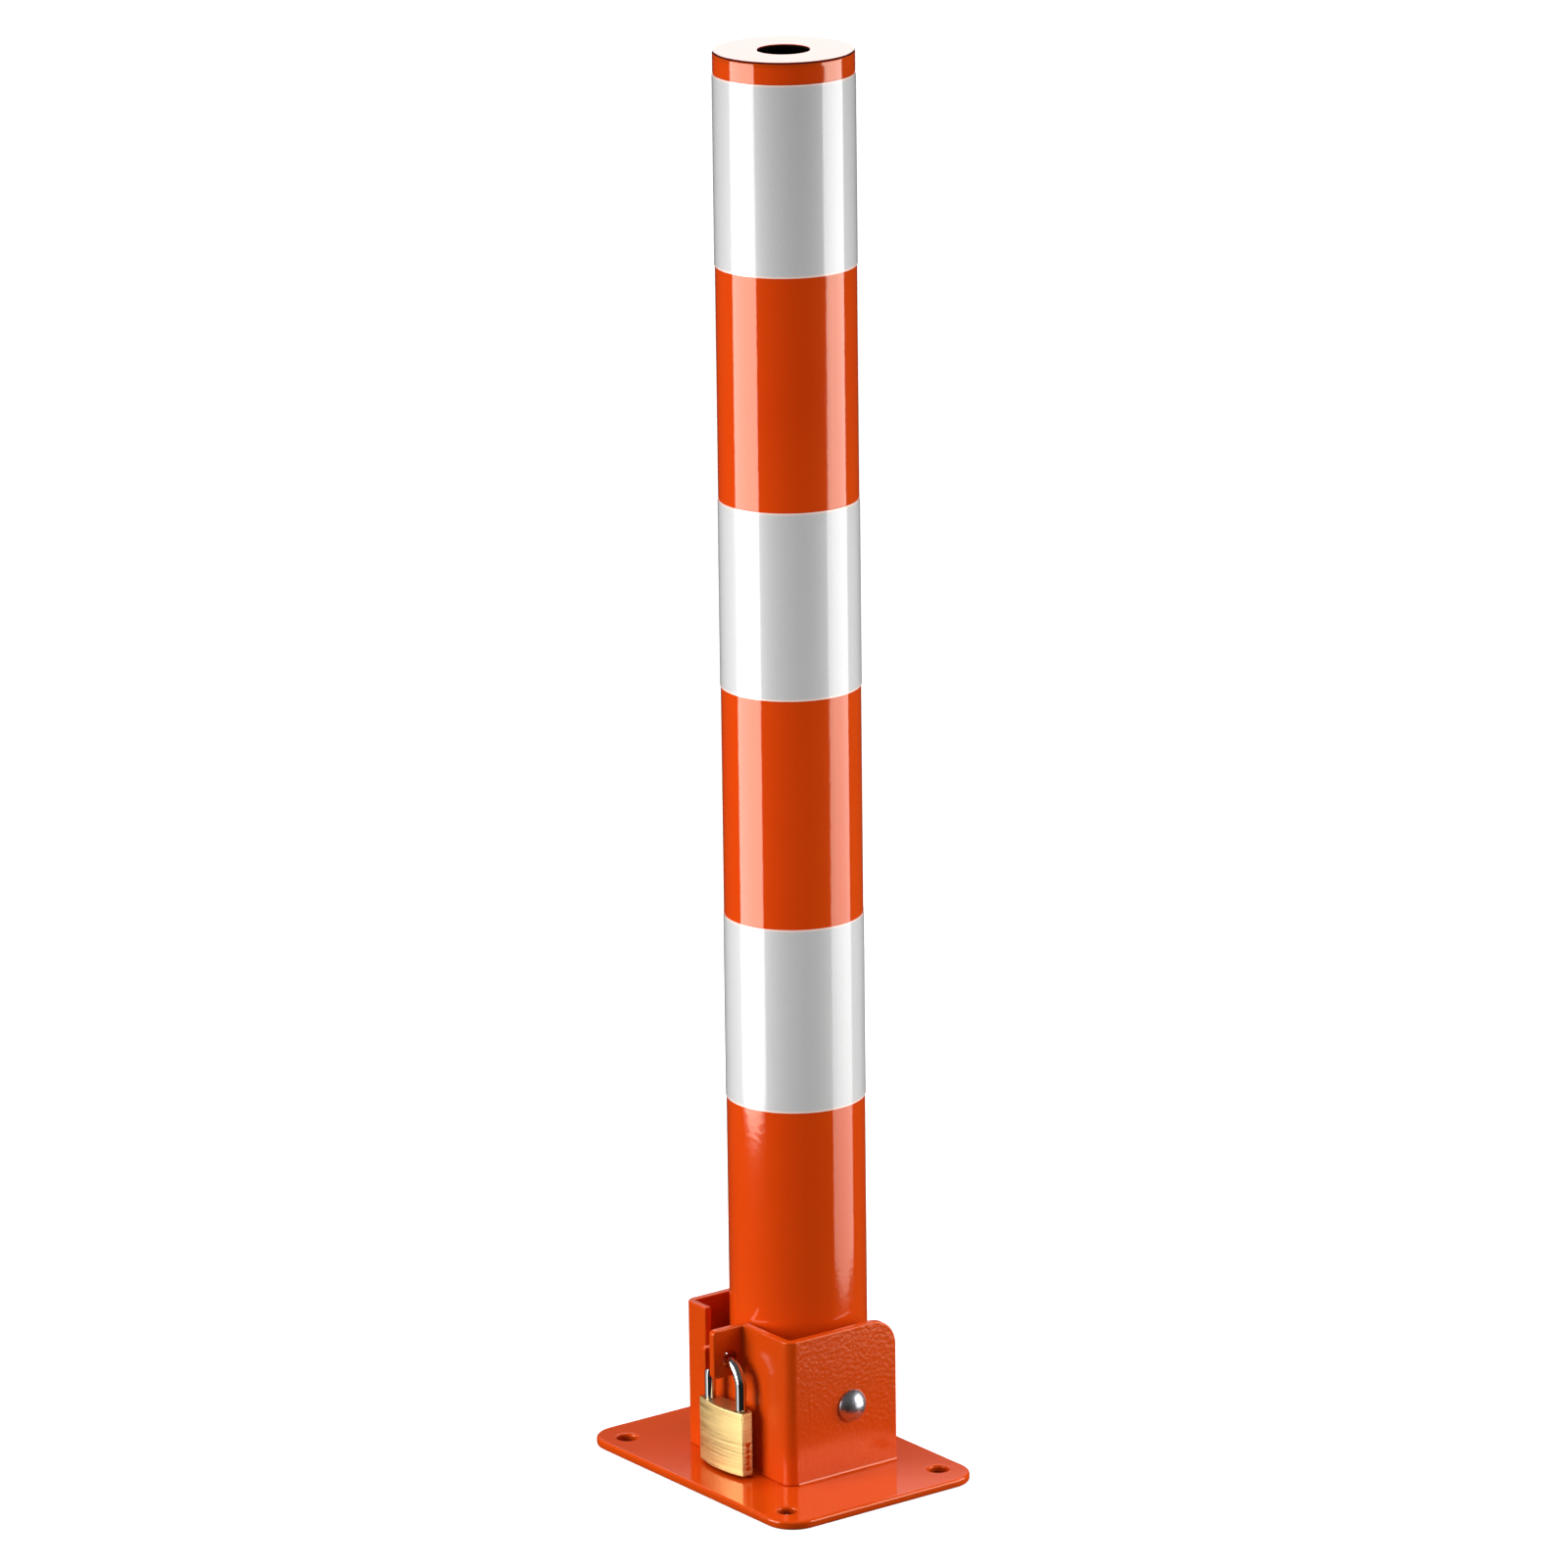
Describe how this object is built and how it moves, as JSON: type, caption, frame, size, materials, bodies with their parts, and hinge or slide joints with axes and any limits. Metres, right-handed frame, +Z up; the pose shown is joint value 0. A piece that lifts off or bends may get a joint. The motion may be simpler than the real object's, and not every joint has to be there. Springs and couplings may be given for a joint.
{
  "type": "folding parking barrier",
  "caption": "Fold-down parking post: a banded steel tube that pivots in a folded bracket on a bolt-down base plate and is held upright by a padlock.",
  "frame": {"origin": "centre of the base plate's underside, on the ground", "axes": "+Z up along the upright post; the post folds down towards +Y; the padlock hangs in front, at -Y; +X is the side of the bolt's domed head"},
  "size_m": [0.188, 0.134, 0.792],
  "materials": {
    "powder_coat": "glossy orange-red powder coat with a faint orange peel",
    "reflective_film": "white retroreflective film, smooth clear face",
    "zinc_plated_steel": "bright zinc plate",
    "nylon": "natural nylon",
    "brass": "fine brushed brass",
    "chromed_steel": "polished chrome plate",
    "bare_steel": "plain steel, lightly oiled"
  },
  "bodies": {
    "base": {"base_plate": "powder_coat", "bracket": "powder_coat", "bracket_weld": "powder_coat", "pivot_bolt": "zinc_plated_steel", "pivot_washer": "zinc_plated_steel", "pivot_nut": "zinc_plated_steel", "nut_insert": "nylon"},
    "post": {"post_tube": "powder_coat", "top_cap": "powder_coat", "band_top": "reflective_film", "band_middle": "reflective_film", "band_bottom": "reflective_film", "pivot_sleeve": "zinc_plated_steel", "sleeve_welds": "powder_coat", "lock_lug": "powder_coat", "lug_welds": "powder_coat"},
    "padlock": {"padlock_body": "brass", "shackle": "chromed_steel", "shackle_spring": "bare_steel", "locking_bolts": "bare_steel", "driver_pins": "brass", "pin_springs": "bare_steel", "chamber_plugs": "brass", "plug_retainer": "bare_steel"},
    "cylinder": {"cylinder_plug": "brass", "lock_driver": "bare_steel", "key_pins": "brass"}
  },
  "joints": [
    {"name": "post_fold", "type": "hinge", "parent": "base", "child": "post", "pos_m": [0, 0.0125, 0.0436], "axis": [-1, 0, 0], "range_deg": [0, 90]},
    {"name": "padlock_swing", "type": "hinge", "parent": "base", "child": "padlock", "pos_m": [0.002, -0.0395, 0.0695], "axis": [-1, 0, 0], "range_deg": [-2, 60]},
    {"name": "cylinder_turn", "type": "hinge", "parent": "padlock", "child": "cylinder", "pos_m": [0.002, -0.0395, 0.02], "axis": [0, 0, 1], "range_deg": [0, 90]}
  ]
}
